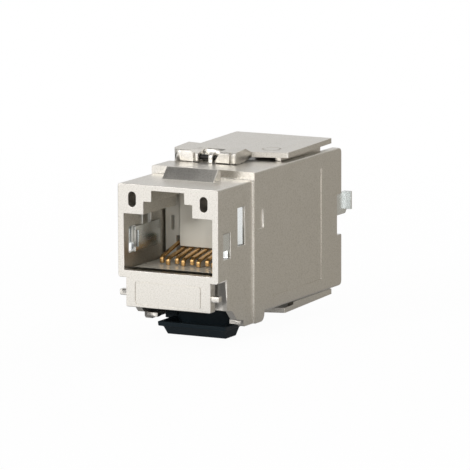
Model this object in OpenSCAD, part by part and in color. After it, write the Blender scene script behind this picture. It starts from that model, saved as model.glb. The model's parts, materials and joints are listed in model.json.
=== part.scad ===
// Shielded keystone jack: a cast housing with a plug port at the front, two hinged covers
// over the wire terminals at the rear and a sprung latch below.
// X is across, Y runs from the front face to the rear, Z is up.
// The origin is the centre of the plug opening, on the front face.

/* [Plug port] */
// Width of the plug opening
port_w = 11.8; // [11.6:0.05:12]
// Height of the plug opening below the keyway
port_h = 6.77; // [6.6:0.01:7]
// Width of the keyway's wide step
key_wide_w = 6.5; // [5.8:0.1:7]
// Height of the keyway's wide step
key_wide_h = 1.56; // [1.3:0.02:1.8]
// Width of the keyway's narrow step
key_narrow_w = 4.38; // [3.6:0.02:5]
// Height of the keyway's narrow step
key_narrow_h = 1.36; // [1:0.02:1.6]
// Thickness of the front plate
face_t = 0.8; // [0.6:0.05:1]
// Depth from the front face to the wall of the contact carrier
port_depth = 8.7; // [8.4:0.1:9]
// Width of the two upright slots in the front plate
face_slot_w = 1; // [0.7:0.05:1.2]
// Height of the two upright slots in the front plate
face_slot_h = 1.8; // [1.4:0.05:2.2]
// Distance between the two upright slots
face_slot_pitch = 9.57; // [9.2:0.01:9.8]

/* [Nose] */
// Width of the nose
nose_w = 13.38; // [13.2:0.02:13.6]
// Length of the nose in front of the body
nose_len = 8.93; // [8.6:0.01:9.4]
// Thickness of the nose roof above the keyway
nose_roof = 0.66; // [0.5:0.02:1]
// Height of the sill below the plug opening
sill_h = 0.88; // [0.75:0.01:1.1]
// Thickness of the nose floor behind the sill
nose_floor_t = 0.5; // [0.4:0.02:0.6]
// Width of the panel hook on the nose roof
hook_w = 6.9; // [5:0.1:8]
// Height of the panel hook
hook_h = 1.39; // [0.8:0.01:1.6]
// Length of the panel hook along the nose
hook_len = 1.95; // [1.6:0.05:2.2]
// Gap for the panel between the hook and the body
panel_gap = 1.98; // [1.6:0.02:2.4]

/* [Side windows] */
// Distance from the front face to the front windows
front_window_y = 1.4; // [1.2:0.05:1.8]
// Length of the front windows
front_window_len = 1.8; // [1.6:0.05:2]
// Height of the front windows
front_window_h = 3.1; // [2.9:0.05:3.3]
// Distance from the front face to the rear windows
rear_window_y = 5.05; // [4.8:0.05:5.3]
// Length of the rear windows
rear_window_len = 1.85; // [1.6:0.05:2]
// Height of the rear windows
rear_window_h = 4.6; // [4.2:0.05:4.8]

/* [Lip and legs] */
// Width of the lip below the port
lip_w = 11.28; // [10.6:0.02:11.4]
// Height of the lip
lip_h = 3.5; // [3:0.05:4]
// Thickness of the lip
lip_t = 1.2; // [1:0.05:1.6]
// Reach of each snap nub beside the lip
nub_reach = 0.98; // [0.6:0.02:1.05]
// Distance from the front face to the legs
leg_setback = 2.25; // [1.7:0.05:2.6]
// Wall thickness of the legs
leg_t = 0.89; // [0.8:0.01:0.95]
// Drop of the legs below the body
leg_drop = 1.05; // [0.7:0.05:1.4]
// Reach of the inward tab at the foot of each leg
leg_tab_reach = 1; // [0.6:0.05:1.2]

/* [Body] */
// Width of the body
body_w = 13.87; // [13.7:0.01:14.1]
// Length of the body behind the nose
body_len = 23.19; // [22.6:0.01:24]
// Step from the nose roof up to the body top
body_step = 0.94; // [0.7:0.02:1.2]
// Height of the body
body_h = 17.16; // [16.9:0.02:17.6]
// Thickness of the body's walls
wall_t = 1; // [0.9:0.02:1.1]
// Radius of the body's long edges
edge_r = 0.3; // [0.1:0.05:0.45]
// Depth of the plain field sunk in each side
field_depth = 0.12; // [0.05:0.01:0.2]
// Radius of the body's rear corners, seen from the side
rear_corner_r = 0.7; // [0.4:0.05:1]
// Length of the notch at the rear of each side
notch_len = 1.12; // [0.8:0.02:1.4]
// Height of the notch at the rear of each side
notch_h = 5; // [4.4:0.1:6]

/* [Covers] */
// Width of the covers
cover_w = 13.14; // [12.8:0.02:13.4]
// Thickness of the cover plates
cover_t = 0.62; // [0.5:0.01:0.7]
// Distance from the hinge axis to the rear edge of the covers
cover_len = 16.4; // [15.6:0.1:16.6]
// Width of the left hinge lug of a cover
left_lug_w = 3.68; // [3.6:0.02:4]
// Width of the right hinge lug of a cover
right_lug_w = 2.8; // [2.6:0.05:3.1]
// Distance from the body step to the hinge axes
hinge_setback = 4.97; // [4.8:0.01:5.2]
// Radius of the hinge pins
pin_r = 0.3; // [0.25:0.01:0.34]
// Running clearance round the hinge pins
pin_clear = 0.06; // [0.04:0.01:0.08]
// Angle at which the top cover stands off the body
top_tilt = 1.3; // [0.5:0.1:3]
// Angle at which the bottom cover closes on the body
bottom_tilt = 1.6; // [0.5:0.1:2]

/* [Latch] */
// Width of the latch rim
latch_w = 9.1; // [8.8:0.05:9.4]
// Gap between the latch and each leg
latch_gap = 1.25; // [1.22:0.01:1.42]
// Height of the latch below its pivot
latch_h = 3.05; // [2.9:0.05:3.6]
// Wall thickness of the latch tray
latch_wall = 0.6; // [0.5:0.02:0.8]
// Radius of the latch's pivot stubs
stub_r = 0.5; // [0.4:0.02:0.6]
// Running clearance of the latch in the housing
latch_clear = 0.06; // [0.04:0.01:0.09]

/* [Inside] */
// Spacing of the plug contacts
contact_pitch = 1.016; // [1:0.002:1.03]
// Width of each plug contact
contact_w = 0.48; // [0.3:0.02:0.5]
// Thickness of each plug contact
contact_t = 0.32; // [0.2:0.02:0.34]
// Thickness of the circuit board
board_t = 1; // [0.8:0.05:1.2]
// Spacing of the wire terminals
terminal_pitch = 2.7; // [2.5:0.05:2.8]
// Length of the terminal blocks
block_len = 7.4; // [7:0.1:7.8]
// Radius of the cable inlet in the wire manager
inlet_r = 4.1; // [3.5:0.05:4.4]
// Reach of the clip behind the body
clip_reach = 3.98; // [3:0.02:5]
// Thickness of the sheet metal pieces
sheet_t = 0.25; // [0.2:0.01:0.3]
// Seating gap between fixed pieces
seat_gap = 0.05; // [0.03:0.01:0.08]

/* [Hidden] */
$fn = 32;
// Overlap that lets a cut run clear of a face
cut = 1;

// Levels of the port, nose and body
port_top = port_h / 2;
port_floor = -port_h / 2;
key_top = port_top + key_wide_h + key_narrow_h;
nose_top = key_top + nose_roof;
nose_bottom = port_floor - sill_h;
nose_floor = nose_bottom + nose_floor_t;
lip_bottom = nose_bottom - lip_h;
body_top = nose_top + body_step;
body_bottom = body_top - body_h;
body_mid = (body_top + body_bottom) / 2;
leg_bottom = body_bottom - leg_drop;
rear_y = nose_len + body_len;

// Hollow behind the front plate, and the wire chamber at the rear
hollow_ledge = 0.05;
passage_ledge = 0.015;
bulkhead_setback = 3.27;
bulkhead_t = 1;
deck_len = 4.8;
nose_half = nose_w / 2;
body_half = body_w / 2;
hollow_half = port_w / 2 + hollow_ledge;
chamber_half = body_half - wall_t;
passage_half = chamber_half + passage_ledge;
latch_half = latch_w / 2;
leg_inner = latch_half + latch_gap;
leg_outer = leg_inner + leg_t;
bulkhead_y = nose_len + bulkhead_setback;
chamber_y = bulkhead_y + bulkhead_t;
deck_end = chamber_y + deck_len;
face_slot_drop = 1.17;
face_slot_depth = 4.5;
corner_gap = 0.3;
corner_end = port_depth - corner_gap;
face_slot_z = key_top - face_slot_drop;

// Panel hook on the nose roof
hook_land = 0.65;
hook_fall = 0.18;
hook_root = 0.2;
hook_rear = nose_len - panel_gap;
hook_front = hook_rear - hook_len;

// Snap nubs and the fine line engraved on the lip
nub_root = 0.3;
nub_y = 0.25;
nub_len = 0.85;
nub_half = 0.36;
nub_drop = 0.1;
nub_z = (nose_bottom + lip_bottom) / 2 - nub_drop;
frame_margin = 1.2;
frame_gap = 0.33;
frame_r = 0.4;
frame_line = 0.16;
frame_depth = 0.1;

// Slanted fronts and rounded heels of the legs
leg_root = 0.4;
leg_web = [0.75, 0.6];
leg_shelf = [1.31, 0.22];
leg_slant = [2.54, 1.42];
heel_len = 1.57;
heel_r = 0.9;
heel_y = nose_len + heel_len;

// Windows of the side walls, the pocket behind them and the plain field
rear_window_drop = 0.455;
front_window_low = -front_window_h / 2;
rear_window_low = -rear_window_drop;
pocket_setback = 0.1;
pocket_len = 2.27;
pocket_rise = 1.4;
pocket_h = 2.3;
pocket_depth = 0.18;
field_lead = 0.4;
field_tail = 5.33;
field_margin = [1.58, 1.92];

// Hinges of the covers, in the plane of the lugs
hinge_rise = 0.59;
hinge_gap = 0.2;
hinge_clear = 0.08;
ear_w = 0.6;
ear_r = 0.68;
ear_space = [1.3, 0.42];
lug_front = 0.8;
lug_low = 0.5;
lug_high = 0.885;
lug_edge = 0.2;
lug_corner_r = 1.3;
lug_crown = 0.12;
lug_crown_y = 0.56;
lug_slant = 0.65;
lug_slant_rise = 0.3;
lug_step = [0.5, 0.75];
lug_step_drop = 0.42;
lug_step_angle = 12;
left_lug_len = 6.9;
right_lug_len = 3.3;
knuckle_end = 0.1;
groove_w = 0.2;
groove_depth = 0.25;
pin_inset = 0.9;
pin_cap = 0.6;
pin_end_gap = 0.1;
pin_seat = 0.01;
hinge_y = nose_len + hinge_setback;
left_lug = [-cover_w / 2, left_lug_w - cover_w / 2];
ear_left = left_lug[1] + ear_space[0];
ear_right = ear_left + ear_w;
right_lug = [ear_right + ear_space[1], ear_right + ear_space[1] + right_lug_w];
relief_r = max(norm([lug_front, lug_high - lug_edge]), norm([lug_front - lug_edge, lug_high])) + hinge_clear;
pin_left = left_lug[0] + pin_inset;
pin_right = right_lug[1] - pin_cap;

// Plates of the covers
top_rise = 0.375;
bottom_rise = 0.67;
plate_inset = 1.25;
top_setback = 4.5;
bottom_setback = 3.6;
plate_skew = 1.1;
plate_corner_r = 0.2;
rib_lead = 5.9;
rib_w = 0.8;
rib_gap = 0.15;
rib_inset = 0.25;
rib_tail = 1.4;
rib_depth = 1.25;
mark_r = 1.2;
mark_setback = 1.8;
mark_depth = 0.06;

// Latch pivot, and the tray and rim in front of it
pivot_setback = 1.67;
pivot_rise = 1.25;
boss_wall = 0.4;
rim_reach = 4.8;
rim_drop = 1.345;
rim_h = 0.55;
rim_step = 0.1;
rim_over = 0.5;
toe_len = 1.4;
back_inset = 0.2;
stub_reach = 0.4;
bar_gap = 0.2;
bar_drop = 0.35;
pivot_y = nose_len + pivot_setback;
pivot_z = leg_bottom + pivot_rise;
boss_r = stub_r + boss_wall;
rim_y = pivot_y - rim_reach;
rim_top = pivot_z - rim_drop;
rim_low = rim_top - rim_h;
toe_y = rim_y + toe_len;
back_y = pivot_y - boss_r + back_inset;
latch_low = pivot_z - latch_h;

// Tabs at the feet of the legs, beside the rim
tab_lead = 4.1;
tab_len = 0.76;
tab_h = 0.5;
tab_rise = 0.28;
tab_proud = 0.1;
tab_y = leg_setback + tab_lead;
tab_low = leg_bottom + tab_rise;

// Contact carrier, with the chamber that the contacts leave
carrier_gap = 0.2;
carrier_lead = 1.1;
carrier_skin = 0.09;
block_half = 3.05;
side_step = 1.4;
comb_margin = 0.2;
comb_h = 1.77;
comb_wall = 0.1;
guide_slot = [4.55, 4.95];
guide_slot_h = 1.8;
spring_gap = 0.12;
wing_len = 0.4;
spring_inner = hollow_half - sheet_t - spring_gap;
spring_outer = nose_half - spring_gap;
carrier_half = hollow_half - carrier_gap;
carrier_rear_half = passage_half - carrier_gap;
carrier_floor_front = face_t + carrier_lead;
carrier_floor = port_floor + carrier_skin;
carrier_top = key_top - seat_gap;
carrier_base = nose_floor + seat_gap;
side_wall_y = port_depth + side_step;
comb_half = 4 * contact_pitch + comb_margin;
comb_top = port_floor + comb_h;
comb_rear = bulkhead_y + comb_wall;

// Plug contacts, in the plane of a strip
contact_lift = 0.03;
contact_reach = 3.85;
contact_hook = [0.3, 0.55, 0.8];
contact_toe = [0.35, 0.12];
contact_rise = 1.5;
outer_contact_rise = 1.95;
contact_bend = 0.6;

// Board, terminal blocks and their blades
board_gap = 0.3;
board_edge_gap = 0.1;
terminal_gap = 0.35;
terminal_inner = 1.9;
terminal_cap = 0.35;
blade_setback = 5.2;
blade_rise = 0.6;
blade_half = 0.8;
blade_h = 3.6;
blade_t = 0.4;
blade_slot = 0.34;
blade_foot = 0.5;
wire_w = 1.2;
wire_run = 1.4;
board_y = chamber_y + seat_gap;
board_half = chamber_half - board_gap;
board_edge = wall_t + board_edge_gap;
block_y = board_y + board_t + seat_gap;
terminal_half = chamber_half - terminal_gap;
terminal_outer = body_h / 2 - wall_t - terminal_cap;
blade_y = block_y + blade_setback;
blade_low = body_mid + terminal_inner + blade_rise;

// Wire manager and the clip on its right side
manager_gap = 0.2;
manager_lead = 0.1;
manager_inset = 0.92;
fan_len = 2;
inlet_lead = 4;
stop_inset = 3;
stop_len = 2;
stop_half = 2.5;
stop_gap = 0.12;
clip_t = 0.35;
clip_proud = 0.02;
clip_drop = 0.855;
clip_h = 2.75;
clip_flange = 0.68;
clip_corner = 0.5;
notch_drop = 2;
manager_y = block_y + block_len + manager_lead;
manager_rear = rear_y - manager_inset;
manager_half = chamber_half - manager_gap;
manager_top = body_h / 2 - wall_t;
inlet_y = manager_y + inlet_lead;
stop_y = hinge_y + cover_len - stop_inset;
clip_outer = manager_half + clip_proud;
clip_rear = rear_y + clip_reach;
clip_low = -clip_drop;

// Colours of the finishes
nickel = "#c9c5ba";
steel = "#b9bbb8";
dark_plastic = "#161c22";
pale_plastic = "#b7b3a9";
gold = "#c79a4a";
board_green = "#2f6b4a";
clear_grey = "#d6d6d2";

// Extrudes an outline drawn in X and Z from y0 to y1
module along_y(y0, y1) {
  translate([0, y1, 0]) rotate([90, 0, 0]) linear_extrude(y1 - y0) children();
}

// Extrudes an outline drawn in Y and Z from x0 to x1
module along_x(x0, x1) {
  translate([x0, 0, 0]) rotate([90, 0, 90]) linear_extrude(x1 - x0) children();
}

// Box given by its lowest and highest corners
module span(low, high) {
  translate(low) cube(high - low);
}

// Round rod along X
module rod(x0, x1, r) {
  translate([x0, 0, 0]) rotate([0, 90, 0]) cylinder(r = r, h = x1 - x0);
}

// Rectangle with rounded corners, given by its lowest and highest corners
module rounded(low, high, r) {
  offset(r = r) offset(delta = -r) translate(low) square(high - low);
}

// Children and their mirror image across the centre plane
module both_sides() {
  children();
  mirror([1, 0, 0]) children();
}

// Direction and left-hand normal of a step along a path
function unit(v) = v / norm(v);
function left(v) = [-v[1], v[0]];

// Points offset to one side of a path, mitred at its bends
function path_side(p, d) = [
  for (i = [0:len(p) - 1])
    let (
      a = left(unit(p[max(1, i)] - p[max(1, i) - 1])),
      b = left(unit(p[min(len(p) - 1, i + 1)] - p[min(len(p) - 1, i + 1) - 1])),
      n = unit(a + b)
    ) p[i] + n * d / (n * a)
];

// Bent strip of even thickness along a path
module strip(p, t) {
  near = path_side(p, t / 2);
  far = path_side(p, -t / 2);
  polygon(concat(near, [for (i = [len(far) - 1:-1:0]) far[i]]));
}

// Outline of the plug opening with its stepped keyway
module port_outline() {
  translate([-port_w / 2, port_floor]) square([port_w, port_h]);
  translate([-key_wide_w / 2, 0]) square([key_wide_w, port_top + key_wide_h]);
  translate([-key_narrow_w / 2, 0]) square([key_narrow_w, key_top]);
}

// Upright slot with round ends
module upright_slot() {
  reach = (face_slot_h - face_slot_w) / 2;
  translate([-face_slot_w / 2, -reach]) square([face_slot_w, 2 * reach]);
  for (z = [-reach, reach]) translate([0, z]) circle(d = face_slot_w);
}

// Outer form of the nose, the body behind it and the lip below the port
module housing_form() {
  along_y(0, nose_len + cut) rounded([-nose_half, nose_bottom], [nose_half, nose_top], edge_r);
  intersection() {
    along_y(nose_len, rear_y) rounded([-body_half, body_bottom], [body_half, body_top], edge_r);
    along_x(-body_half, body_half) body_side();
  }
  along_x(-hook_w / 2, hook_w / 2) panel_hook();
  along_y(0, lip_t) rounded([-lip_w / 2, lip_bottom], [lip_w / 2, nose_bottom + cut], edge_r / 2);
  both_sides() {
    snap_nub();
    along_x(leg_inner, leg_outer) nose_leg();
    along_x(leg_inner, body_half) body_leg();
  }
}

// Side view of the body, with its rear corners rounded
module body_side() {
  r = rear_corner_r;
  translate([nose_len, body_bottom]) square([body_len - r, body_h]);
  translate([nose_len, body_bottom + r]) square([body_len, body_h - 2 * r]);
  for (z = [body_bottom + r, body_top - r]) translate([rear_y - r, z]) circle(r = r);
}

// Wedge on the nose roof that holds the panel against the body
module panel_hook() {
  polygon([
    [hook_front, nose_top - hook_root],
    [hook_front, nose_top],
    [hook_rear - hook_land, nose_top + hook_h],
    [hook_rear, nose_top + hook_h - hook_fall],
    [hook_rear, nose_top - hook_root]
  ]);
}

// Rounded nub that snaps behind the panel's edge
module snap_nub() {
  low = [lip_w / 2 - nub_root, nub_z - nub_half];
  high = [lip_w / 2 + nub_reach, nub_z + nub_half];
  along_y(nub_y, nub_y + nub_len) rounded(low, high, edge_r / 2);
}

// Side wall below the nose, with its slanted front edge
module nose_leg() {
  polygon([
    [leg_setback, nose_bottom + leg_root],
    [leg_setback, lip_bottom],
    [leg_setback + leg_shelf[0], lip_bottom - leg_shelf[1]],
    [leg_setback + leg_slant[0], lip_bottom - leg_slant[1]],
    [tab_y + tab_proud, tab_low + tab_h],
    [tab_y + tab_proud, tab_low],
    [tab_y + tab_proud + tab_rise, leg_bottom],
    [nose_len + leg_root, leg_bottom],
    [nose_len + leg_root, nose_bottom + leg_root]
  ]);
}

// Side wall below the body, rounded up at its rear corner
module body_leg() {
  height = body_bottom - leg_bottom + cut;
  translate([nose_len, leg_bottom]) square([heel_len, height]);
  translate([heel_y, leg_bottom + heel_r]) circle(r = heel_r);
  translate([nose_len, leg_bottom + heel_r]) square([heel_len + heel_r, height - heel_r]);
}

// Inward tab at the foot of a leg
module leg_tab() {
  span(
    [leg_inner - leg_tab_reach, tab_y, tab_low],
    [leg_inner + leg_t / 2, tab_y + tab_len, tab_low + tab_h]
  );
}

// Inward web at the front of a leg, beside the lip
module leg_front_web() {
  span(
    [leg_inner - leg_web[0], leg_setback, lip_bottom],
    [leg_inner + leg_t / 2, leg_setback + leg_web[1], nose_bottom + leg_root]
  );
}

// Ear between the lugs of a cover, drawn above the body top
module hinge_ear() {
  root = wall_t / 2;
  along_x(ear_left, ear_left + ear_w) {
    translate([hinge_y - ear_r, body_top - root]) square([2 * ear_r, hinge_rise + root]);
    translate([hinge_y, body_top + hinge_rise]) circle(r = ear_r);
  }
}

// Round relief under the lugs of a cover, and the bore of its pin
module hinge_cuts() {
  translate([0, hinge_y, body_top + hinge_rise]) {
    rod(-body_half - cut, left_lug[1] + hinge_gap, relief_r);
    rod(right_lug[0] - hinge_gap, right_lug[1] + hinge_gap, relief_r);
    rod(ear_left - hinge_gap, ear_left + ear_w + hinge_gap, pin_r + pin_seat);
  }
}

// Children at the top of the body and turned over at its bottom
module top_and_bottom() {
  children();
  translate([0, 0, 2 * body_mid]) mirror([0, 0, 1]) children();
}

// Hollows of the housing: port, nose, wire chamber and the space under the covers
module housing_hollows() {
  along_y(-cut, corner_end + seat_gap) port_outline();
  for (side = [-1, 1])
    translate([side * face_slot_pitch / 2, 0, face_slot_z]) along_y(-cut, face_slot_depth) upright_slot();
  span([-hollow_half, face_t, nose_floor], [hollow_half, side_wall_y, port_top]);
  span([-hollow_half, corner_end, nose_floor], [hollow_half, side_wall_y, key_top]);
  span([-passage_half, side_wall_y - seat_gap, nose_floor], [passage_half, chamber_y + cut, key_top]);
  span(
    [-chamber_half, chamber_y, body_bottom + wall_t],
    [chamber_half, rear_y + cut, body_top - wall_t]
  );
  span([-chamber_half, deck_end, body_bottom - cut], [chamber_half, rear_y + cut, body_top + cut]);
  span([-leg_inner, lip_t, leg_bottom - cut], [leg_inner, bulkhead_y, nose_bottom]);
}

// Windows and shallow fields of one side wall, drawn on the right
module side_cuts() {
  along_x(hollow_half - cut, nose_half + cut) {
    translate([front_window_y, front_window_low]) square([front_window_len, front_window_h]);
    translate([rear_window_y, rear_window_low]) square([rear_window_len, rear_window_h]);
  }
  along_x(body_half - pocket_depth, body_half + cut)
    translate([nose_len + pocket_setback, rear_window_low + pocket_rise]) square([pocket_len, pocket_h]);
  along_x(body_half - field_depth, body_half + cut)
    translate([hinge_y - field_lead, body_bottom + field_margin[0]]) square([
      rear_y - field_tail - hinge_y + field_lead,
      body_h - field_margin[0] - field_margin[1]
    ]);
  along_x(chamber_half - cut, body_half + cut)
    translate([rear_y - notch_len, clip_low - notch_drop]) square([notch_len + cut, notch_h]);
}

// Fine engraved frame on the lip
module lip_frame() {
  low = [frame_margin - lip_w / 2, lip_bottom + frame_gap];
  high = [lip_w / 2 - frame_margin, nose_bottom - frame_gap];
  along_y(-cut, frame_depth) difference() {
    rounded(low, high, frame_r);
    offset(delta = -frame_line) rounded(low, high, frame_r);
  }
}

// Cast housing
module housing() {
  color(nickel) difference() {
    union() {
      difference() {
        housing_form();
        housing_hollows();
        both_sides() side_cuts();
        lip_frame();
        both_sides() translate([0, pivot_y, pivot_z])
          rod(leg_inner - cut, leg_inner + stub_reach + latch_clear, stub_r + latch_clear);
      }
      both_sides() leg_tab();
      both_sides() leg_front_web();
      top_and_bottom() hinge_ear();
    }
    top_and_bottom() hinge_cuts();
  }
}

// Cover drawn at its hinge axis, with its plate running to the rear and its outside up
module cover(rise, setback) {
  difference() {
    union() {
      cover_plate(rise, setback);
      intersection() {
        union() {
          knuckle(rise);
          rod(left_lug[0], right_lug[1], lug_front);
        }
        translate([0, 0, -2 * cut]) linear_extrude(4 * cut) knuckle_plan();
      }
    }
    along_y(-lug_front - cut, ear_r + hinge_gap) ear_notch();
    translate([0, -lug_front, 0]) rotate([lug_step_angle, 0, 0]) along_y(-cut, left_lug_len) lug_facet();
    rod(left_lug[0] - cut, pin_right + pin_end_gap, pin_r + pin_clear);
    for (x = [left_lug[1] - lug_step[0], right_lug[1] - lug_step[1]]) lug_groove(x);
  }
}

// Flat plate of a cover, set back on the right of the lugs
module cover_plate(rise, setback) {
  half = cover_w / 2;
  translate([0, 0, rise - cover_t]) linear_extrude(cover_t) {
    offset(r = plate_corner_r, $fn = 8) offset(delta = -plate_corner_r) polygon([
      [-half, plate_inset],
      [right_lug[1], plate_inset],
      [right_lug[1], setback - plate_skew],
      [half, setback],
      [half, cover_len],
      [-half, cover_len]
    ]);
  }
}

// Raised front of a cover, which ramps down to the plate sooner on the right
module knuckle(rise) {
  hull() {
    along_x(left_lug[0], left_lug[0] + knuckle_end) lug_side(left_lug_len, rise);
    along_x(right_lug[1] - knuckle_end, right_lug[1]) lug_side(right_lug_len, rise);
  }
}

// Side view of a hinge lug and its ramp
module lug_side(len, rise) {
  polygon([
    [-lug_front, -lug_low],
    [-lug_front, lug_high - lug_edge],
    [lug_edge - lug_front, lug_high],
    [lug_crown_y * len, lug_high + lug_crown],
    [len, rise],
    [len, rise - cover_t],
    [plate_inset, -lug_low]
  ]);
}

// Plan of the raised front, with its outer left corner rounded
module knuckle_plan() {
  r = lug_corner_r;
  width = right_lug[1] - left_lug[0];
  translate([left_lug[0], r - lug_front]) square([width, left_lug_len]);
  translate([left_lug[0] + r, -lug_front]) square([width - r, left_lug_len]);
  translate([left_lug[0] + r, r - lug_front]) circle(r = r);
}

// Notch for the ear between the two lugs, widened by the slanted edge of the right one
module ear_notch() {
  polygon([
    [left_lug[1], -2 * cut],
    [left_lug[1], 2 * cut],
    [right_lug[0] + lug_slant, 2 * cut],
    [right_lug[0] + lug_slant, lug_high],
    [right_lug[0], lug_slant_rise - lug_low],
    [right_lug[0], -2 * cut]
  ]);
}

// Part cut from the top of the left lug beside the ear: a slope and a step
module lug_facet() {
  edge = left_lug[1] - lug_step[0];
  polygon([
    [edge - lug_step[1], lug_high],
    [edge, lug_high - lug_step_drop],
    [left_lug[1] + cut / 2, lug_high - lug_step_drop],
    [left_lug[1] + cut / 2, lug_high + 2 * cut],
    [edge - lug_step[1], lug_high + 2 * cut]
  ]);
}

// Upright groove in the front of a lug
module lug_groove(x) {
  span(
    [x - groove_w / 2, -lug_front - cut, -lug_front - cut],
    [x + groove_w / 2, groove_depth - lug_front, lug_front + cut]
  );
}

// Upper cover, standing slightly off the body, with a rib along each side of the wire chamber
module top_cover() {
  mark = [right_lug[1] + mark_r, top_setback + mark_setback, top_rise - mark_depth];
  color(nickel) translate([0, hinge_y, body_top + hinge_rise]) rotate([top_tilt, 0, 0]) difference() {
    union() {
      cover(top_rise, top_setback);
      both_sides() hanging_rib();
    }
    translate(mark) round_mark();
  }
}

// Rib under the upper cover, drawn on the right, which hangs into the wire chamber
module hanging_rib() {
  outer = chamber_half - rib_inset;
  span(
    [outer - rib_w, deck_end - hinge_y + rib_inset, -rib_depth],
    [outer, cover_len - rib_tail, top_rise - cover_t / 2]
  );
}

// Shallow round line sunk in the upper cover
module round_mark() {
  difference() {
    cylinder(r = mark_r, h = cut);
    translate([0, 0, -cut]) cylinder(r = mark_r - groove_w, h = 3 * cut);
  }
}

// Inner edge of the lower cover's ribs, which keeps their gap to the body
function rib_low(y) = y * tan(bottom_tilt) - (hinge_rise - rib_gap) / cos(bottom_tilt);

// Side view of a rib that fills the wedge between the lower cover and the body
module rib_side() {
  root = bottom_rise - cover_t / 2;
  rear = cover_len - plate_corner_r;
  polygon([
    [rib_lead, root],
    [rib_lead, rib_low(rib_lead)],
    [rear, rib_low(rear)],
    [rear, root]
  ]);
}

// Lower cover, closed on the body, with a rib along each side
module bottom_cover() {
  half = cover_w / 2;
  color(nickel) translate([0, hinge_y, body_bottom - hinge_rise])
    mirror([0, 0, 1]) rotate([-bottom_tilt, 0, 0]) {
      cover(bottom_rise, bottom_setback);
      both_sides() along_x(half - rib_w, half) rib_side();
    }
}

// Pin of the upper cover
module top_hinge_pin() {
  color(steel) translate([0, hinge_y, body_top + hinge_rise]) rod(pin_left, pin_right, pin_r);
}

// Pin of the lower cover
module bottom_hinge_pin() {
  color(steel) translate([0, hinge_y, body_bottom - hinge_rise]) rod(pin_left, pin_right, pin_r);
}

// Side view of the latch: its rim, the tray below and the boss round the pivot
module latch_side() {
  translate([pivot_y, pivot_z]) circle(r = boss_r);
  polygon([
    [rim_y, rim_top],
    [rim_y + rim_step, rim_low],
    [rim_y + rim_over, rim_low - rim_step],
    [toe_y, latch_low],
    [pivot_y - boss_r, latch_low],
    [pivot_y, rim_low],
    [pivot_y + boss_r, pivot_z],
    [pivot_y - boss_r, pivot_z],
    [pivot_y - boss_r, rim_top]
  ]);
}

// Side view of the bar round the pivot, which spans the legs
module latch_bar() {
  translate([pivot_y, pivot_z]) circle(r = boss_r);
  polygon([
    [pivot_y - boss_r, pivot_z],
    [pivot_y - boss_r, leg_bottom - bar_drop],
    [pivot_y, leg_bottom - bar_drop],
    [pivot_y + boss_r, pivot_z]
  ]);
}

// Right half of the latch's front view, with the tray set in below the rim
module latch_front() {
  polygon([
    [0, pivot_z + boss_r + cut],
    [0, latch_low],
    [latch_half - rim_over - rim_step, latch_low],
    [latch_half - rim_over, rim_low - rim_step],
    [latch_half, rim_low],
    [latch_half, pivot_z + boss_r + cut]
  ]);
}

// Plastic latch that turns on two stubs in the legs
module release_latch() {
  inner = latch_half - latch_wall;
  tray = inner - rim_over;
  color(dark_plastic) {
    difference() {
      intersection() {
        along_x(-latch_half, latch_half) latch_side();
        along_y(rim_y - cut, pivot_y + boss_r + cut) {
          latch_front();
          mirror([1, 0, 0]) latch_front();
        }
      }
      span(
        [-inner, rim_y + latch_wall, rim_low],
        [inner, back_y, pivot_z + boss_r + cut]
      );
      span(
        [-tray, toe_y + latch_wall, latch_low + latch_wall],
        [tray, back_y, rim_low + cut]
      );
    }
    both_sides() {
      along_x(inner, leg_inner - bar_gap) latch_bar();
      translate([0, pivot_y, pivot_z]) rod(inner, leg_inner + stub_reach, stub_r);
    }
  }
}

// Plastic insert with the port's floor, its rear wall and the chamber of the contacts
module contact_carrier() {
  color(pale_plastic) difference() {
    union() {
      span([-carrier_half, carrier_floor_front, carrier_base], [carrier_half, side_wall_y, carrier_floor]);
      span([-carrier_rear_half, side_wall_y, carrier_base], [carrier_rear_half, chamber_y, carrier_top]);
      span([-block_half, port_depth, comb_top], [block_half, side_wall_y + cut, carrier_top]);
    }
    span([-comb_half, side_wall_y - cut, carrier_floor], [comb_half, comb_rear, comb_top + cut]);
    span(
      [-comb_half, comb_rear - cut, comb_top - 2 * contact_t],
      [comb_half, chamber_y + cut, comb_top + 2 * contact_t]
    );
    both_sides() span(
      [guide_slot[0], side_wall_y - cut, 0],
      [guide_slot[1], side_wall_y + cut, guide_slot_h]
    );
  }
}

// Path of a plug contact in Y and Z: an upright tip, a slope to the rear and a straight tail
function contact_path(i) = let (
  outer = i == 1 || i == 8,
  floor_z = carrier_floor + contact_lift,
  tip = [port_depth - contact_reach, floor_z] + (i % 2 == 0 ? [0, 0] : contact_toe),
  slope_z = floor_z + contact_t / 2 + (outer ? outer_contact_rise : contact_rise),
  tail_z = comb_top + seat_gap
) [
  tip,
  tip + [0, contact_hook[1]],
  tip + [contact_hook[0], contact_hook[2]],
  [side_wall_y + 2 * seat_gap, slope_z],
  [comb_rear - contact_bend, tail_z],
  [chamber_y + seat_gap, tail_z]
];

// Spring contact number i, counted from the left
module plug_contact(i) {
  x = (i - 4.5) * contact_pitch;
  color(gold) along_x(x - contact_w / 2, x + contact_w / 2) strip(contact_path(i), contact_t);
}

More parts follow.
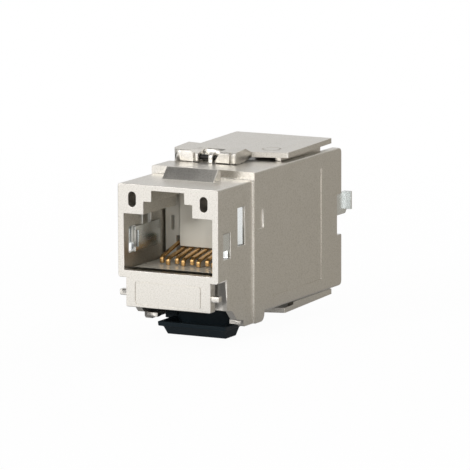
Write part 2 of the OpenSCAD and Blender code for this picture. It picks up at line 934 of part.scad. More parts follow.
// Sheet spring on the right wall of the port, with lances that stand out through the side windows
module shield_spring() {
  plate_end = port_depth - spring_gap;
  ear_y = front_window_y + front_window_len / 2;
  plate_y = front_window_y + front_window_len;
  lance_y = rear_window_y + wing_len;
  low = front_window_low + seat_gap;
  high = low + front_window_h - 2 * seat_gap;
  step = low + 4 * sheet_t;
  window_top = rear_window_low + rear_window_h;
  span([spring_inner, plate_y, low], [spring_inner + sheet_t, plate_end, high]);
  for (z = [low, high - 2 * sheet_t])
    span([spring_inner, ear_y, z], [spring_inner + sheet_t, plate_y + sheet_t, z + 2 * sheet_t]);
  spring_lance(ear_y + 2 * seat_gap, plate_y - sheet_t, low, step);
  span(
    [spring_outer - sheet_t, front_window_y + 2 * seat_gap, step - seat_gap],
    [spring_outer, plate_y - 2 * seat_gap, high]
  );
  span(
    [spring_inner, rear_window_y - wing_len, low],
    [spring_inner + sheet_t, lance_y + sheet_t / 2, port_top - 2 * seat_gap]
  );
  spring_lance(
    lance_y, rear_window_y + rear_window_len - sheet_t,
    rear_window_low + seat_gap, window_top - seat_gap
  );
}

// Lance bent out of the spring from y0 on its plate to y1 in the window
module spring_lance(y0, y1, z0, z1) {
  reach = sheet_t / 2;
  translate([0, 0, z0]) linear_extrude(z1 - z0)
    strip([[spring_inner + reach, y0], [spring_outer - reach, y1]], sheet_t);
}

// Spring on the left wall of the port
module shield_spring_left() {
  color(steel) mirror([1, 0, 0]) shield_spring();
}

// Spring on the right wall of the port
module shield_spring_right() {
  color(steel) shield_spring();
}

// Board between the plug contacts and the wire terminals
module circuit_board() {
  color(board_green) span(
    [-board_half, board_y, body_bottom + board_edge],
    [board_half, board_y + board_t, body_top - board_edge]
  );
}

// Place of wire terminal i on its block, counted from the left
function terminal_x(i) = ((i - 1) % 4 - 1.5) * terminal_pitch;

// Blade with a foot on the board, drawn for the upper block; grow makes its pocket
module blade(grow) {
  half = blade_half + grow;
  reach = blade_t / 2 + grow;
  foot = blade_foot / 2 + grow;
  span([-half, blade_y - reach, blade_low - grow], [half, blade_y + reach, blade_low + blade_h]);
  span([-foot, board_y + board_t, blade_low - grow], [foot, blade_y, blade_low + blade_foot + grow]);
}

// Blade with the slot that cuts into a wire
module slotted_blade() {
  difference() {
    blade(0);
    span(
      [-blade_slot / 2, blade_y - cut, blade_low + blade_h / 2],
      [blade_slot / 2, blade_y + cut, blade_low + blade_h + cut]
    );
  }
}

// Blade number i: 1 to 4 in the upper block, 5 to 8 in the lower one
module wire_terminal(i) {
  color(gold) {
    if (i <= 4) translate([terminal_x(i), 0, 0]) slotted_blade();
    else translate([terminal_x(i), 0, 2 * body_mid]) mirror([0, 0, 1]) slotted_blade();
  }
}

// Plastic block with a wire channel and a blade pocket for each terminal, drawn for the top
module terminal_block() {
  low = body_mid + terminal_inner;
  high = body_mid + terminal_outer;
  difference() {
    span([-terminal_half, block_y, low], [terminal_half, block_y + block_len, high]);
    for (i = [1:4]) translate([terminal_x(i), 0, 0]) {
      blade(seat_gap);
      span(
        [-wire_w / 2, blade_y - wire_run, blade_low + blade_h / 2],
        [wire_w / 2, block_y + block_len + cut, high + cut]
      );
    }
  }
}

// Upper terminal block
module terminal_block_top() {
  color(clear_grey) terminal_block();
}

// Lower terminal block
module terminal_block_bottom() {
  color(clear_grey) translate([0, 0, 2 * body_mid]) mirror([0, 0, 1]) terminal_block();
}

// Height of the pad that the upper cover closes on
function stop_top() =
  body_top + hinge_rise + top_rise - cover_t + (stop_y - hinge_y) * tan(top_tilt) - stop_gap;

// Wire guide with the round cable inlet and a groove for each wire
module wire_manager() {
  fan_half = 1.5 * terminal_pitch + wire_w / 2;
  color(pale_plastic) difference() {
    union() {
      span(
        [-manager_half, manager_y, body_mid - manager_top],
        [clip_outer - clip_t, manager_rear, body_mid + manager_top]
      );
      span([-stop_half, stop_y, body_mid], [stop_half, stop_y + stop_len, stop_top()]);
    }
    translate([0, manager_rear + cut, body_mid]) rotate([90, 0, 0])
      cylinder(r = inlet_r, h = manager_rear + cut - inlet_y);
    for (i = [1:4]) translate([terminal_x(i), 0, body_mid])
      span(
        [-wire_w / 2, manager_y - cut, -manager_top - cut],
        [wire_w / 2, manager_y + fan_len, manager_top + cut]
      );
    span(
      [-fan_half, manager_y + fan_len - seat_gap, body_mid - manager_top + wall_t],
      [fan_half, inlet_y + seat_gap, body_mid + manager_top - wall_t]
    );
  }
}

// Side view of the clip: a plate on the manager and a tongue past the rear
module clip_side() {
  translate([manager_y + cut, clip_low - cut]) square([manager_rear - manager_y - cut, clip_h + 2 * cut]);
  polygon([
    [manager_rear - cut, clip_low],
    [clip_rear - clip_corner, clip_low],
    [clip_rear, clip_low + clip_corner],
    [clip_rear, clip_low + clip_h],
    [manager_rear - cut, clip_low + clip_h]
  ]);
}

// Sheet tongue beside the cable inlet, with a bent end for the cable tie
module strain_clip() {
  inner = clip_outer - clip_t;
  color(steel) {
    along_x(inner, clip_outer) clip_side();
    span(
      [inner, clip_rear - clip_t, clip_low + clip_corner],
      [clip_outer + clip_flange, clip_rear, clip_low + clip_h]
    );
  }
}

housing();
top_cover();
bottom_cover();
top_hinge_pin();
bottom_hinge_pin();
release_latch();
contact_carrier();
plug_contact(1);  // contact_1
plug_contact(2);  // contact_2
plug_contact(3);  // contact_3
plug_contact(4);  // contact_4
plug_contact(5);  // contact_5
plug_contact(6);  // contact_6
plug_contact(7);  // contact_7
plug_contact(8);  // contact_8
shield_spring_left();
shield_spring_right();
circuit_board();
terminal_block_top();
terminal_block_bottom();
wire_terminal(1);  // terminal_1
wire_terminal(2);  // terminal_2
wire_terminal(3);  // terminal_3
wire_terminal(4);  // terminal_4
wire_terminal(5);  // terminal_5
wire_terminal(6);  // terminal_6
wire_terminal(7);  // terminal_7
wire_terminal(8);  // terminal_8
wire_manager();
strain_clip();
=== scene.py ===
"""Shielded keystone jack: castings, springs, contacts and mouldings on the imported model."""
import json
import math

import bmesh
import bpy
from bpy.props import FloatProperty, FloatVectorProperty, PointerProperty
from mathutils import Matrix, Vector
from mathutils.geometry import intersect_point_line

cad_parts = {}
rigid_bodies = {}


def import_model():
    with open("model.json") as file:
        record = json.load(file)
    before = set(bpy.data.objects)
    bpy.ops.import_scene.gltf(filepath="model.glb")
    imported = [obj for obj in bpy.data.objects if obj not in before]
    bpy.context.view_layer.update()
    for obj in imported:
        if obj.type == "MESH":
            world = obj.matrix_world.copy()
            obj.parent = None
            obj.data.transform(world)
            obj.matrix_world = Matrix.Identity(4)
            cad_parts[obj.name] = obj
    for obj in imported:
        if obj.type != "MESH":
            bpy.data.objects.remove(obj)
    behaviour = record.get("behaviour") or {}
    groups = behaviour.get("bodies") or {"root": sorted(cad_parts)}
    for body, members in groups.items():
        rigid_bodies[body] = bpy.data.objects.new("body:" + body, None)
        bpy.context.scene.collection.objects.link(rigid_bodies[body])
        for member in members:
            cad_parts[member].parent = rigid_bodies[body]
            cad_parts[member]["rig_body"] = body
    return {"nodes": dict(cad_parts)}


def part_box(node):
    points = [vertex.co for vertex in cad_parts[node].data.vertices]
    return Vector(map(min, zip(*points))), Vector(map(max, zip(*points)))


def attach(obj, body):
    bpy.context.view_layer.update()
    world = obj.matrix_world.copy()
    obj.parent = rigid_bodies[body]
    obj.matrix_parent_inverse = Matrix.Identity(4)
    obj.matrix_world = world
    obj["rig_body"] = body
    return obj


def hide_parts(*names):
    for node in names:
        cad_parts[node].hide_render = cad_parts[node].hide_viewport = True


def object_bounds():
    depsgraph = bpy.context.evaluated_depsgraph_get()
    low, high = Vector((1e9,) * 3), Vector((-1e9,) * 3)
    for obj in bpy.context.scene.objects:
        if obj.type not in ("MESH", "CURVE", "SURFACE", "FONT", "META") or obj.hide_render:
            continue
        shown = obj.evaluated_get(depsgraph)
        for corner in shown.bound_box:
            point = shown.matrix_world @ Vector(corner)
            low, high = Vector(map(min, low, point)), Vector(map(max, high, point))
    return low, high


bl_info = {
    "name": "Shielded keystone jack",
    "version": (1, 0, 0),
    "blender": (4, 5, 0),
    "location": "View3D > Sidebar > Jack",
    "description": "Dresses the packed keystone jack and sets up its studio",
    "category": "Object",
}

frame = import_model()
CAD_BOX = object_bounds()
MM = 0.001

# Edge rounding: points nearer than MERGE are one, faces that turn less than FLAT are one,
# edges that turn more than SHARP are rounded, and runs that turn less than BEND carry on.
MERGE = 0.002 * MM
FLAT = math.radians(1)
SHARP = math.radians(25)
BEND = math.radians(30)
# Angles between which a rounding can close against the next edge.
CLOSING = (math.radians(30), math.radians(150))
# Widths of rounding that an edge needs free on its faces, and the faces across a rounding.
ROOM = 2.1
SEGMENTS = 2
# Angle from which shading breaks.
CREASE = math.radians(40)

# Widths of the patterns that are not settings.
CRYSTAL = 0.06 * MM
FLOW = 3 * MM
WEAVE = 0.4 * MM
STREAK = 0.3 * MM
# How far gloss drifts either way, on the castings and elsewhere.
CAST_DRIFT = 0.05
DRIFT = 0.08

# Height in millimetres between the jack and the floor, and between the jack and the cards there.
FLOOR_GAP = 0.01
ON_FLOOR = CAD_BOX[0].z / MM + FLOOR_GAP
FLOOR_HALF = 2
# Distances from the origin between which the floor goes over into the white.
FLOOR_FADE = (40 * MM, 160 * MM)
LAMP_DISTANCE = 0.6
CAMERA_CLIP = (0.01, 10)

# Softboxes: direction from the aim point, width and height in metres, setting of the power,
# and whether the metal mirrors them.
SOFTBOXES = (
    ("front_softbox", (-0.46, -0.86, 0.42), (0.7, 0.6), "fill_lamp", True),
    ("camera_key", (0.516, -0.837, 0.183), (0.03, 0.03), "key", True),
    ("port_key", (-0.34, -0.9, 0.28), (0.1, 0.1), "port_key", False),
    ("back_softbox", (0.2, 0.85, 0.5), (0.5, 0.5), "back_lamp", False),
)

# Directions: up, to the rear, and level ones in which the front and the right side mirror the view.
UP = (0, 0, 1)
REAR = (0, 1, 0)
OFF_FRONT = (-0.456, -0.875, 0)
OFF_SIDE = (0.456, 0.875, 0)
WHITE = "ffffff"
WARM = "f4eee2"
# Cards: middle in millimetres, direction that they face, their upward direction,
# width and height in millimetres, colour and strength.
CARDS = (
    ("bounce_front", (-41, -79, ON_FLOOR), UP, OFF_FRONT, (110, 160), WHITE, 1.17),
    ("dark_floor", (0, 12, ON_FLOOR), UP, REAR, (26, 48), WHITE, 0.3),
    ("grey_floor_right", (39, 77, ON_FLOOR), UP, OFF_SIDE, (90, 150), WARM, 0.46),
    ("grey_card_right", (72, 141, 40), OFF_FRONT, UP, (130, 105), WARM, 0.46),
    ("dark_flag_overhead", (-90, -40, 180), (0.456, 0.219, -0.857), REAR, (150, 130), WHITE, 0.09),
    ("grey_card_behind", (-114, 219, 60), (0.456, -0.875, 0), UP, (360, 145), WHITE, 0.76),
    ("dark_flag_left", (-90, 1, 20), (1, 0, 0), UP, (122, 64), WHITE, 0.05),
    ("glint", (-88, -198, 125), (0.35, 0.79, -0.5), UP, (44, 44), WHITE, 12),
    ("edge_light", (72, -34, ON_FLOOR), UP, REAR, (44, 44), WHITE, 4),
    ("dark_camera", (137, -262, 49), (-0.456, 0.875, -0.162), UP, (120, 200), WHITE, 0.04),
)

# The two like sides of covers and terminal blocks, and the numbers of contacts and blades.
SIDES = ("top", "bottom")
WIRES = range(1, 9)


def linear(code):
    """An sRGB hex colour as linear red, green, blue and alpha."""
    parts = [int(code[i:i + 2], 16) / 255 for i in (0, 2, 4)]
    return [c / 12.92 if c <= 0.04045 else ((c + 0.055) / 1.055) ** 2.4 for c in parts] + [1]


def colour(name, code, description):
    """A colour property with an sRGB hex default."""
    return FloatVectorProperty(
        name=name, description=description, subtype="COLOR", size=4, min=0, max=1,
        default=linear(code),
    )


def size(name, mm, description):
    """A length property with a default in millimetres."""
    return FloatProperty(
        name=name, description=description, subtype="DISTANCE", unit="LENGTH", min=0, precision=5,
        default=mm * MM,
    )


def point(name, mm, description):
    """A point property with a default in millimetres."""
    return FloatVectorProperty(
        name=name, description=description, subtype="TRANSLATION", unit="LENGTH",
        default=[c * MM for c in mm],
    )


def share(name, default, description):
    """A property from 0 to 1."""
    return FloatProperty(
        name=name, description=description, subtype="FACTOR", min=0, max=1, default=default
    )


def angle(name, degrees, description):
    """An angle property with a default in degrees."""
    return FloatProperty(
        name=name, description=description, subtype="ANGLE", default=math.radians(degrees)
    )


def power(name, watts, description):
    """A property for the power of a lamp."""
    return FloatProperty(name=name, description=description, unit="POWER", min=0, default=watts)


class CastingSettings(bpy.types.PropertyGroup):
    """Finish of the die cast housing and covers."""
    plate: colour("Nickel", "d9d5ce", "Colour of the nickel plating")
    pit: colour("Pits", "c5c1b8", "Colour of the plating in the pits of the cast skin")
    gloss: share("Roughness", 0.34, "Mean roughness of the satin plating")
    edge: size("Edge", 0.08, "Rounding that tumbling leaves on the castings")
    grain: size("Grain", 0.15, "Width of the cast skin's grain")
    cloud: size("Cloud", 2.4, "Width of the patches of uneven gloss")


class SheetSettings(bpy.types.PropertyGroup):
    """Finish of the stamped springs, clip and pins."""
    steel: colour("Steel", "e4e7e6", "Colour of the rolled steel")
    pin: colour("Pin", "3f3d3b", "Colour of the phosphated hinge pins")
    gloss: share("Roughness", 0.24, "Mean roughness of the rolled steel")
    edge: size("Edge", 0.04, "Rounding of the stamped edges")
    lead_in: size("Lead-in", 0.6, "Length of the coined front edge of a spring's wing")
    wing: point("Wing", (5.58, 4.65, 2.4), "Middle of the front edge of the right spring's wing")
    draw: size("Drawing", 0.05, "Width of the rolling lines")


class PlasticSettings(bpy.types.PropertyGroup):
    """Finishes of the moulded pieces and the board."""
    latch: colour("Latch", "1c252a", "Colour of the release latch")
    insert: colour("Insert", "c8c4b9", "Colour of the contact carrier and wire manager")
    block: colour("Block", "8f9698", "Colour of the terminal blocks")
    board: colour("Board", "1f5a3a", "Colour of the board's solder mask")
    edge: size("Edge", 0.08, "Rounding of the moulded edges")
    undercut: size("Undercut", 2.5, "Depth of the undercut below the carrier floor's front edge")
    texture: size("Texture", 0.09, "Width of the moulds' spark eroded texture")


class ContactSettings(bpy.types.PropertyGroup):
    """Finish of the plug contacts and wire terminals."""
    gold: colour("Gold", "e2b678", "Colour of the thin gold plating")
    gloss: share("Roughness", 0.2, "Mean roughness of the plating")
    edge: size("Edge", 0.06, "Rounding of the drawn contact wire")


class StageSettings(bpy.types.PropertyGroup):
    """Camera and light of the studio."""
    lens: FloatProperty(
        name="Lens", description="Focal length of the camera", unit="CAMERA", min=1, default=385.38
    )
    turn: angle("Turn", 27.53, "Angle of the camera round the jack")
    rise: angle("Rise", 9.335, "Angle of the camera above the floor")
    roll: angle("Roll", -0.178, "Turn of the camera about its own axis")
    distance: size("Distance", 595.34, "Distance from the camera to the aim point")
    aim: point("Aim", (5.69, 6.25, 0.71), "Point in the middle of the picture")
    fill: FloatProperty(
        name="Fill", description="Strength of the light from all round", min=0, default=0.4
    )
    fill_lamp: power("Front softbox", 1.1, "Power of the softbox at the front left")
    key: power("Key", 0.4, "Power of the lamp beside the camera")
    port_key: power("Port key", 1.1, "Power of the lamp that shines into the port")
    back_lamp: power("Back softbox", 1.8, "Power of the softbox behind the jack")


def feed(node, inputs):
    """Gives each of a node's sockets a value or another node's socket."""
    for key, value in inputs.items():
        if isinstance(value, bpy.types.NodeSocket):
            node.id_data.links.new(value, node.inputs[key])
        else:
            node.inputs[key].default_value = value


def add(tree, kind, inputs=(), **settings):
    """A node of that kind with its settings, and with its sockets fed."""
    made = tree.nodes.new(kind)
    for key, value in settings.items():
        setattr(made, key, value)
    feed(made, dict(inputs))
    return made


def blank(name):
    """A new material with its node tree, its shader and its Object coordinates."""
    made = bpy.data.materials.new(name)
    made.use_nodes = True
    tree = made.node_tree
    place = add(tree, "ShaderNodeTexCoord").outputs["Object"]
    return made, tree, tree.nodes["Principled BSDF"], place


def nickel_plated_zinc():
    """Zinc alloy, die cast and nickel plated."""
    # The plating is a warm satin silver whose gloss drifts from patch to patch. The die's grain is
    # drawn coarser than it is, so that it shows: its pits scatter light away and look sandy.
    casting = bpy.context.scene.jack_casting
    made, tree, shader, place = blank("nickel_plated_zinc")
    grain = add(tree, "ShaderNodeTexNoise", {
        "Vector": place, "Scale": 1 / casting.grain, "Detail": 3,
    }).outputs["Fac"]
    cloud = add(tree, "ShaderNodeTexNoise", {
        "Vector": place, "Scale": 1 / casting.cloud, "Detail": 2,
    })
    gloss = add(tree, "ShaderNodeMapRange", {
        "Value": cloud.outputs["Fac"], "From Min": 0.3, "From Max": 0.7,
        "To Min": casting.gloss - CAST_DRIFT, "To Max": casting.gloss + CAST_DRIFT,
    })
    skin = add(tree, "ShaderNodeBump", {"Height": grain, "Strength": 0.6, "Distance": 0.02 * MM})
    raised = add(tree, "ShaderNodeMapRange", {"Value": grain, "From Min": 0.3, "From Max": 0.55})
    # Sockets 6 and 7 of a colour mix are its two colours, and output 2 is its result.
    sand = add(tree, "ShaderNodeMix", {
        "Factor": raised.outputs["Result"], 6: casting.pit, 7: casting.plate,
    }, data_type="RGBA")
    feed(shader, {
        "Base Color": sand.outputs[2], "Metallic": 1,
        "Roughness": gloss.outputs["Result"], "Normal": skin.outputs["Normal"],
    })
    return made


def rolled_steel():
    """Spring steel strip, rolled, stamped and folded."""
    # Rolling leaves fine lines along the strip, so highlights stretch across it, and it stays
    # brighter than the castings.
    sheet = bpy.context.scene.jack_sheet
    made, tree, shader, place = blank("rolled_steel")
    along = add(tree, "ShaderNodeMapping", {"Vector": place, "Scale": (1, 0.04, 1)})
    lines = add(tree, "ShaderNodeTexNoise", {
        "Vector": along.outputs["Vector"], "Scale": 1 / sheet.draw, "Detail": 2,
    }).outputs["Fac"]
    gloss = add(tree, "ShaderNodeMapRange", {
        "Value": lines, "To Min": sheet.gloss - DRIFT, "To Max": sheet.gloss + DRIFT,
    })
    drawn = add(tree, "ShaderNodeBump", {"Height": lines, "Strength": 0.2, "Distance": 0.004 * MM})
    feed(shader, {
        "Base Color": sheet.steel, "Metallic": 1,
        "Roughness": gloss.outputs["Result"], "Normal": drawn.outputs["Normal"],
    })
    return made


def phosphated_steel():
    """Drawn steel pin, phosphated and oiled."""
    # Fine crystals, drawn coarser than they are, scatter the light, so the pin stays a dark matt
    # grey in its bore.
    made, tree, shader, place = blank("phosphated_steel")
    crystals = add(tree, "ShaderNodeTexVoronoi", {"Vector": place, "Scale": 1 / CRYSTAL})
    gloss = add(tree, "ShaderNodeMapRange", {
        "Value": crystals.outputs["Distance"], "To Min": 0.45, "To Max": 0.65,
    })
    feed(shader, {
        "Base Color": bpy.context.scene.jack_sheet.pin, "Metallic": 1,
        "Roughness": gloss.outputs["Result"],
    })
    return made


def moulded(name, tint, roughness, depth):
    """Plastic from a spark eroded mould, in one colour, with its shader."""
    plastic = bpy.context.scene.jack_plastic
    made, tree, shader, place = blank(name)
    pits = add(tree, "ShaderNodeTexNoise", {
        "Vector": place, "Scale": 1 / plastic.texture, "Detail": 2,
    })
    flow = add(tree, "ShaderNodeTexNoise", {"Vector": place, "Scale": 1 / FLOW, "Detail": 1})
    gloss = add(tree, "ShaderNodeMapRange", {
        "Value": flow.outputs["Fac"], "To Min": roughness - DRIFT, "To Max": roughness + DRIFT,
    })
    skin = add(tree, "ShaderNodeBump", {
        "Height": pits.outputs["Fac"], "Strength": 0.25, "Distance": depth,
    })
    feed(shader, {
        "Base Color": tint,
        "Roughness": gloss.outputs["Result"], "Normal": skin.outputs["Normal"],
    })
    return made, shader


def filled_nylon():
    """Glass filled nylon, moulded in near black."""
    # Fibres just under the skin leave a faint grain and a soft grey sheen on a blue black ground.
    tint = bpy.context.scene.jack_plastic.latch
    made, shader = moulded("filled_nylon", tint, 0.5, 0.02 * MM)
    feed(shader, {"IOR": 1.53, "Specular IOR Level": 0.12})
    return made


def moulded_polycarbonate():
    """Polycarbonate, moulded in pale warm grey."""
    # An even, half matt skin that takes soft shadows, with more gloss at flat angles.
    tint = bpy.context.scene.jack_plastic.insert
    made, shader = moulded("moulded_polycarbonate", tint, 0.3, 0.01 * MM)
    feed(shader, {"IOR": 1.58})
    return made


def smoked_polycarbonate():
    """Polycarbonate, moulded clear with a grey tint."""
    # Glossy mould faces and a smoky depth, in which the blades show as shadows.
    tint = bpy.context.scene.jack_plastic.block
    made, shader = moulded("smoked_polycarbonate", tint, 0.22, 0.004 * MM)
    feed(shader, {"IOR": 1.58, "Transmission Weight": 0.5})
    return made


def board_laminate():
    """Glass cloth laminate under solder mask."""
    # The cloth's weave prints through the mask as a fine check, and the mask is a glossy green.
    made, tree, shader, place = blank("board_laminate")
    weave = add(tree, "ShaderNodeTexChecker", {"Vector": place, "Scale": 1 / WEAVE})
    print_through = add(tree, "ShaderNodeBump", {
        "Height": weave.outputs["Fac"], "Strength": 0.2, "Distance": 0.01 * MM,
    })
    feed(shader, {
        "Base Color": bpy.context.scene.jack_plastic.board, "Roughness": 0.35,
        "Normal": print_through.outputs["Normal"],
    })
    return made


def gold_flash():
    """Bronze spring wire with a thin flash of gold."""
    # The flash is thin, so it reads as orange brown, and drawing the wire leaves uneven gloss.
    contacts = bpy.context.scene.jack_contacts
    made, tree, shader, place = blank("gold_flash")
    streak = add(tree, "ShaderNodeTexNoise", {"Vector": place, "Scale": 1 / STREAK, "Detail": 2})
    gloss = add(tree, "ShaderNodeMapRange", {
        "Value": streak.outputs["Fac"],
        "To Min": contacts.gloss - DRIFT, "To Max": contacts.gloss + DRIFT,
    })
    feed(shader, {
        "Base Color": contacts.gold, "Metallic": 1, "Roughness": gloss.outputs["Result"],
    })
    return made


def finish(make):
    """The material that a function makes, made once."""
    return bpy.data.materials.get(make.__name__) or make()


def reach(place, edge):
    """Distance from a place to an edge."""
    low, high = (v.co for v in edge.verts)
    foot, at = intersect_point_line(place, low, high)
    return (place - (low if at < 0 else high if at > 1 else foot)).length


def is_seam(edge):
    """Whether an edge only divides a flat face."""
    return len(edge.link_faces) == 2 and edge.calc_face_angle() < FLAT


def next_round(edge, vert, face):
    """The next edge round a corner of a flat face, past its seams.

    With it come the angle to it and the face that it bounds.
    """
    turned = 0
    while True:
        corner = next(c for c in face.loops if c.vert == vert)
        inner = corner.calc_angle()
        turned += inner if corner.is_convex else 2 * math.pi - inner
        edge = next(e for e in (corner.edge, corner.link_loop_prev.edge) if e != edge)
        if not is_seam(edge):
            return edge, turned, face
        face = next(f for f in edge.link_faces if f != face)


def smooth_run(edge, face):
    """An edge of a flat face and the edges that carry on from it without a corner."""
    run = {edge}
    for vert in edge.verts:
        there, turned, over = next_round(edge, vert, face)
        while there not in run and abs(turned - math.pi) < BEND:
            run.add(there)
            vert = there.other_vert(vert)
            there, turned, over = next_round(there, vert, over)
    return run


def outline(face):
    """The edges round a flat face, past its seams."""
    faces, waiting = {face}, [face]
    while waiting:
        over = {f for e in waiting.pop().edges if is_seam(e) for f in e.link_faces} - faces
        faces |= over
        waiting += over
    return {e for f in faces for e in f.edges if not is_seam(e)}


def clearance(edge, other):
    """Length of an edge that meets another at a corner, or else the distance between the two."""
    if set(other.verts) & set(edge.verts):
        return other.calc_length()
    return min([reach(v.co, other) for v in edge.verts] + [reach(v.co, edge) for v in other.verts])


def has_room(edge, width, outlines):
    """Whether an edge is sharp and its two faces have no other edge in the way of rounding it."""
    if len(edge.link_faces) != 2 or edge.calc_face_angle() < SHARP:
        return False
    for face in edge.link_faces:
        if face not in outlines:
            outlines[face] = outline(face)
        for other in outlines[face] - smooth_run(edge, face):
            if clearance(edge, other) < ROOM * width:
                return False
    return True


def rounded_edges(shape, width):
    """The sharp edges with room for rounding, less those whose rounding has an open end."""
    low, high = CLOSING
    outlines = {}
    chosen = {e for e in shape.edges if has_room(e, width, outlines)}
    while True:
        open_ended = set()
        for edge in chosen:
            for face in edge.link_faces:
                for other, turned, _ in (next_round(edge, vert, face) for vert in edge.verts):
                    if other not in chosen and not low < turned < high:
                        open_ended.add(edge)
        if not open_ended:
            return list(chosen)
        chosen -= open_ended


def mesh_of(shape, name):
    """The mesh of a bmesh, which is freed."""
    mesh = bpy.data.meshes.new(name)
    shape.to_mesh(mesh)
    shape.free()
    return mesh


def placed(name, data):
    """A new object in the scene, with that data."""
    piece = bpy.data.objects.new(name, data)
    bpy.context.scene.collection.objects.link(piece)
    return piece


def dress(node, name, make, width, taper=None):
    """A copy of a CAD node with its sharp edges rounded, which stands for the node.

    taper gives an edge of the shape as the corners of a box round it, and how far back it moves.
    """
    shape = bmesh.new()
    shape.from_mesh(frame["nodes"][node].data)
    bmesh.ops.remove_doubles(shape, verts=shape.verts, dist=MERGE)
    bmesh.ops.dissolve_limit(shape, angle_limit=FLAT, verts=shape.verts, edges=shape.edges)
    if taper:
        low, high, back = taper
        line = [v for v in shape.verts if all(a < c < b for a, c, b in zip(low, v.co, high))]
        if len(line) != 2:
            raise RuntimeError(f"{node} has {len(line)} corners where its tapered edge should be")
        bmesh.ops.translate(shape, vec=(0, back, 0), verts=line)
    shape.normal_update()
    bmesh.ops.bevel(
        shape, geom=rounded_edges(shape, width), offset=width, offset_type="OFFSET",
        segments=SEGMENTS, profile=0.5, affect="EDGES", clamp_overlap=False, material=-1,
    )
    mesh = mesh_of(shape, name)
    mesh.shade_smooth()
    mesh.set_sharp_from_angle(angle=CREASE)
    mesh.materials.append(finish(make))
    piece = placed(name, mesh)
    even = piece.modifiers.new("even_shading", "WEIGHTED_NORMAL")
    even.keep_sharp = True
    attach(piece, frame["nodes"][node]["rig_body"])
    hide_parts(node)


def paint(node, make):
    """Gives a CAD node that keeps its own shape its material."""
    materials = frame["nodes"][node].data.materials
    materials.clear()
    materials.append(finish(make))


class JackOperator(bpy.types.Operator):
    """Makes one group of pieces."""
    bl_options = {"REGISTER", "UNDO"}


class JACK_OT_housing(JackOperator):
    """Dresses the die cast housing"""
    bl_idname = "jack.housing"
    bl_label = "Housing"

    def execute(self, context):
        edge = context.scene.jack_casting.edge
        dress("housing", "housing_casting", nickel_plated_zinc, edge)
        return {"FINISHED"}


class JACK_OT_covers(JackOperator):
    """Dresses the two hinged covers and paints their pins"""
    bl_idname = "jack.covers"
    bl_label = "Covers"

    def execute(self, context):
        edge = context.scene.jack_casting.edge
        for side in SIDES:
            cover = side + "_cover"
            dress(cover, cover + "_casting", nickel_plated_zinc, edge)
            paint(side + "_hinge_pin", phosphated_steel)
        return {"FINISHED"}


class JACK_OT_latch(JackOperator):
    """Dresses the release latch"""
    bl_idname = "jack.latch"
    bl_label = "Latch"

    def execute(self, context):
        edge = context.scene.jack_plastic.edge
        dress("release_latch", "latch_moulding", filled_nylon, edge)
        return {"FINISHED"}


class JACK_OT_carrier(JackOperator):
    """Dresses the contact carrier in the plug port"""
    bl_idname = "jack.carrier"
    bl_label = "Contact carrier"

    def execute(self, context):
        plastic = context.scene.jack_plastic
        near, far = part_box("contact_carrier")
        margin = Vector((0.1, 0.1, 0.1)) * MM
        dress(
            "contact_carrier", "carrier_moulding", moulded_polycarbonate,
            plastic.edge,
            taper=(near - margin, Vector((far.x, near.y, near.z)) + margin, plastic.undercut),
        )
        return {"FINISHED"}


class JACK_OT_contacts(JackOperator):
    """Dresses the eight plug contacts"""
    bl_idname = "jack.contacts"
    bl_label = "Plug contacts"

    def execute(self, context):
        edge = context.scene.jack_contacts.edge
        for i in WIRES:
            dress(f"contact_{i}", f"contact_{i}_wire", gold_flash, edge)
        return {"FINISHED"}


class JACK_OT_springs(JackOperator):
    """Dresses the shield springs and the strain clip"""
    bl_idname = "jack.springs"
    bl_label = "Springs and clip"

    def execute(self, context):
        sheet = context.scene.jack_sheet
        margin = Vector((0.1, 0.1, 1)) * MM
        for side, sign in (("left", -1), ("right", 1)):
            spring = "shield_spring_" + side
            wing = Vector((sign * sheet.wing[0], sheet.wing[1], sheet.wing[2]))
            dress(
                spring, spring + "_strip", rolled_steel, sheet.edge,
                taper=(wing - margin, wing + margin, sheet.lead_in),
            )
        dress("strain_clip", "strain_clip_strip", rolled_steel, sheet.edge)
        return {"FINISHED"}


class JACK_OT_terminals(JackOperator):
    """Dresses the terminal blocks and paints the board and blades"""
    bl_idname = "jack.terminals"
    bl_label = "Terminals"

    def execute(self, context):
        edge = context.scene.jack_plastic.edge
        for side in SIDES:
            block = "terminal_block_" + side
            dress(block, block + "_moulding", smoked_polycarbonate, edge)
        for i in WIRES:
            paint(f"terminal_{i}", gold_flash)
        paint("circuit_board", board_laminate)
        return {"FINISHED"}


class JACK_OT_wire_manager(JackOperator):
    """Dresses the wire manager at the cable inlet"""
    bl_idname = "jack.wire_manager"
    bl_label = "Wire manager"

    def execute(self, context):
        edge = context.scene.jack_plastic.edge
        dress(
            "wire_manager", "wire_manager_moulding", moulded_polycarbonate, edge
        )
        return {"FINISHED"}


def unshaded(name):
    """A new material without a shader, with its node tree and the socket that takes one."""
    made = bpy.data.materials.new(name)
    made.use_nodes = True
    tree = made.node_tree
    tree.nodes.remove(tree.nodes["Principled BSDF"])
    return made, tree, tree.nodes["Material Output"].inputs["Surface"]


